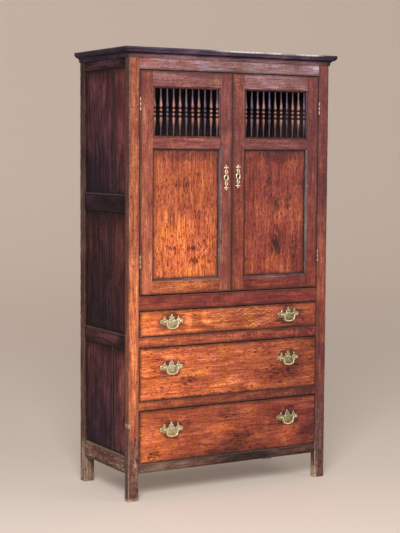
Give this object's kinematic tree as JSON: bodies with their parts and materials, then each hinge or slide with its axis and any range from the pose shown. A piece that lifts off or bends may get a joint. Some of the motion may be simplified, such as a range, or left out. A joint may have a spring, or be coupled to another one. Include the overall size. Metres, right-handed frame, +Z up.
{
  "type": "bread and cheese cupboard",
  "caption": "Joined oak food cupboard with a pair of spindled, panelled doors over long drawers with bat-wing brass bail handles, standing on its corner posts.",
  "frame": {"origin": "on the floor under the middle of the overall box", "axes": "+Z up, the doors and drawers face -Y, +X to the right as seen from the front"},
  "size_m": [1.054, 0.497, 1.9],
  "materials": {
    "dark_oak": "dark waxed",
    "cornice_oak": "near black waxed",
    "frame_oak": "waxed",
    "panel_oak": "waxed",
    "inner_oak": "unpolished",
    "brass": "aged",
    "iron": "worn"
  },
  "bodies": {
    "case": {"front_left_post": "frame_oak", "front_right_post": "frame_oak", "back_left_post": "dark_oak", "back_right_post": "dark_oak", "front_top_rail": "frame_oak", "front_waist_rail": "frame_oak", "front_upper_divider": "frame_oak", "front_lower_divider": "frame_oak", "front_bottom_rail": "frame_oak", "left_side_top_rail": "dark_oak", "left_side_upper_rail": "dark_oak", "left_side_lower_rail": "dark_oak", "left_side_bottom_rail": "dark_oak", "right_side_top_rail": "dark_oak", "right_side_upper_rail": "dark_oak", "right_side_lower_rail": "dark_oak", "right_side_bottom_rail": "dark_oak", "left_side_boards": "dark_oak", "right_side_boards": "dark_oak", "back_boards": "inner_oak", "top_board": "dark_oak", "cornice": "cornice_oak", "cupboard_floor": "inner_oak", "shelf": "inner_oak", "left_upper_hinge": "iron", "left_lower_hinge": "iron", "right_upper_hinge": "iron", "right_lower_hinge": "iron"},
    "left_door": {"left_door_hinge_stile": "frame_oak", "left_door_meeting_stile": "frame_oak", "left_door_top_rail": "frame_oak", "left_door_middle_rail": "frame_oak", "left_door_bottom_rail": "frame_oak", "left_door_panel": "panel_oak", "left_spindle_gallery": "frame_oak"},
    "right_door": {"right_door_hinge_stile": "frame_oak", "right_door_meeting_stile": "frame_oak", "right_door_top_rail": "frame_oak", "right_door_middle_rail": "frame_oak", "right_door_bottom_rail": "frame_oak", "right_door_panel": "panel_oak", "right_spindle_gallery": "frame_oak"},
    "top_drawer": {"top_drawer_front": "panel_oak", "top_drawer_box": "inner_oak", "top_drawer_left_plate": "brass", "top_drawer_right_plate": "brass"},
    "top_drawer_left_bail": {"top_drawer_left_bail": "brass"},
    "top_drawer_right_bail": {"top_drawer_right_bail": "brass"},
    "middle_drawer": {"middle_drawer_front": "panel_oak", "middle_drawer_box": "inner_oak", "middle_drawer_left_plate": "brass", "middle_drawer_right_plate": "brass"},
    "middle_drawer_left_bail": {"middle_drawer_left_bail": "brass"},
    "middle_drawer_right_bail": {"middle_drawer_right_bail": "brass"},
    "bottom_drawer": {"bottom_drawer_front": "panel_oak", "bottom_drawer_box": "inner_oak", "bottom_drawer_left_plate": "brass", "bottom_drawer_right_plate": "brass"},
    "bottom_drawer_left_bail": {"bottom_drawer_left_bail": "brass"},
    "bottom_drawer_right_bail": {"bottom_drawer_right_bail": "brass"}
  },
  "joints": [
    {"name": "left_door_swing", "type": "hinge", "parent": "case", "child": "left_door", "pos_m": [-0.448, -0.225, 0.872], "axis": [0, 0, -1], "range_deg": [0, 170]},
    {"name": "right_door_swing", "type": "hinge", "parent": "case", "child": "right_door", "pos_m": [0.448, -0.225, 0.872], "axis": [0, 0, 1], "range_deg": [0, 170]},
    {"name": "top_drawer_slide", "type": "slide", "parent": "case", "child": "top_drawer", "axis": [0, -1, 0], "range_m": [0, 0.33]},
    {"name": "top_drawer_left_bail_swing", "type": "hinge", "parent": "top_drawer", "child": "top_drawer_left_bail", "pos_m": [-0.296, -0.2348, 0.75675], "axis": [-1, 0, 0], "range_deg": [-6, 90]},
    {"name": "top_drawer_right_bail_swing", "type": "hinge", "parent": "top_drawer", "child": "top_drawer_right_bail", "pos_m": [0.296, -0.2348, 0.75675], "axis": [-1, 0, 0], "range_deg": [-6, 90]},
    {"name": "middle_drawer_slide", "type": "slide", "parent": "case", "child": "middle_drawer", "axis": [0, -1, 0], "range_m": [0, 0.33]},
    {"name": "middle_drawer_left_bail_swing", "type": "hinge", "parent": "middle_drawer", "child": "middle_drawer_left_bail", "pos_m": [-0.296, -0.2348, 0.56225], "axis": [-1, 0, 0], "range_deg": [-6, 90]},
    {"name": "middle_drawer_right_bail_swing", "type": "hinge", "parent": "middle_drawer", "child": "middle_drawer_right_bail", "pos_m": [0.296, -0.2348, 0.56225], "axis": [-1, 0, 0], "range_deg": [-6, 90]},
    {"name": "bottom_drawer_slide", "type": "slide", "parent": "case", "child": "bottom_drawer", "axis": [0, -1, 0], "range_m": [0, 0.33]},
    {"name": "bottom_drawer_left_bail_swing", "type": "hinge", "parent": "bottom_drawer", "child": "bottom_drawer_left_bail", "pos_m": [-0.296, -0.2348, 0.29575], "axis": [-1, 0, 0], "range_deg": [-6, 90]},
    {"name": "bottom_drawer_right_bail_swing", "type": "hinge", "parent": "bottom_drawer", "child": "bottom_drawer_right_bail", "pos_m": [0.296, -0.2348, 0.29575], "axis": [-1, 0, 0], "range_deg": [-6, 90]}
  ]
}
